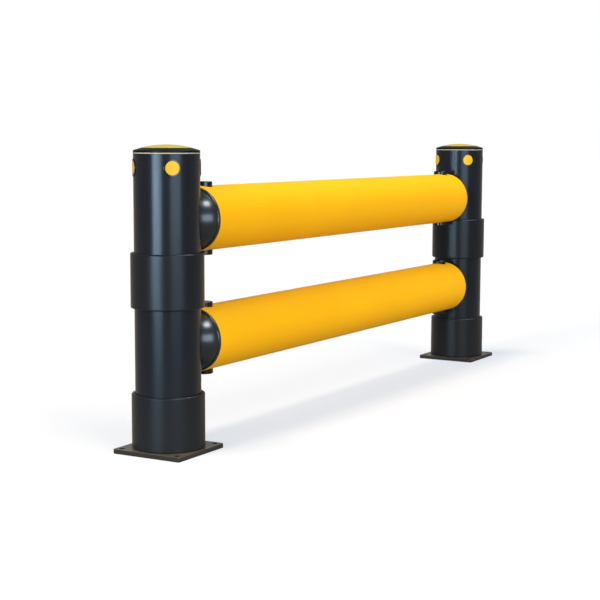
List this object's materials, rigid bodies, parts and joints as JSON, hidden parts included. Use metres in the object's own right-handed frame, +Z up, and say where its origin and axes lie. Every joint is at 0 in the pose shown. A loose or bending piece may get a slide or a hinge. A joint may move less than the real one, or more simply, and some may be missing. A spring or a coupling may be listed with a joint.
{
  "type": "flexible road barrier",
  "caption": "Low safety barrier: round black posts on bolted steel base plates carry level yellow tube rails on domed plug-in couplers held by upright pins.",
  "frame": {"origin": "on the floor, midway between the axes of the two posts", "axes": "+Z up, +X along the rails from the left post to the right post, +Y from the front to the back across the barrier"},
  "size_m": [2.412, 0.242, 0.928],
  "materials": {
    "post_black": "satin black extruded plastic",
    "collar_black": "satin black plastic",
    "coupler_black": "smooth black moulded plastic",
    "black_plastic": "smooth black moulded plastic",
    "yellow_tube": "satin signal yellow extruded plastic",
    "yellow_inlay": "smooth yellow plastic",
    "reflector_yellow": "clear yellow moulded reflector",
    "pale_seal": "pale grey soft seal",
    "galvanised_steel": "dark coated steel",
    "screw_steel": "plain zinc",
    "dowel_steel": "bright bar"
  },
  "bodies": {
    "root": {"left_base_plate": "galvanised_steel", "left_cap": "black_plastic", "left_cap_disc": "yellow_inlay", "left_inner_back_lens": "reflector_yellow", "left_inner_back_reflector": "black_plastic", "left_inner_front_lens": "reflector_yellow", "left_inner_front_reflector": "black_plastic", "left_lower_collar": "collar_black", "left_lower_coupler": "coupler_black", "left_lower_dowel": "dowel_steel", "left_lower_pin": "black_plastic", "left_lower_pin_cap": "black_plastic", "left_middle_collar": "collar_black", "left_outer_back_lens": "reflector_yellow", "left_outer_back_reflector": "black_plastic", "left_outer_front_lens": "reflector_yellow", "left_outer_front_reflector": "black_plastic", "left_post": "post_black", "left_seal_ring": "pale_seal", "left_socket_screws": "screw_steel", "left_upper_coupler": "coupler_black", "left_upper_dowel": "dowel_steel", "left_upper_pin": "black_plastic", "left_upper_pin_cap": "black_plastic", "lower_rail": "yellow_tube", "right_base_plate": "galvanised_steel", "right_cap": "black_plastic", "right_cap_disc": "yellow_inlay", "right_inner_back_lens": "reflector_yellow", "right_inner_back_reflector": "black_plastic", "right_inner_front_lens": "reflector_yellow", "right_inner_front_reflector": "black_plastic", "right_lower_collar": "collar_black", "right_lower_coupler": "coupler_black", "right_lower_dowel": "dowel_steel", "right_lower_pin": "black_plastic", "right_lower_pin_cap": "black_plastic", "right_middle_collar": "collar_black", "right_outer_back_lens": "reflector_yellow", "right_outer_back_reflector": "black_plastic", "right_outer_front_lens": "reflector_yellow", "right_outer_front_reflector": "black_plastic", "right_post": "post_black", "right_seal_ring": "pale_seal", "right_socket_screws": "screw_steel", "right_upper_coupler": "coupler_black", "right_upper_dowel": "dowel_steel", "right_upper_pin": "black_plastic", "right_upper_pin_cap": "black_plastic", "upper_rail": "yellow_tube"}
  },
  "joints": []
}
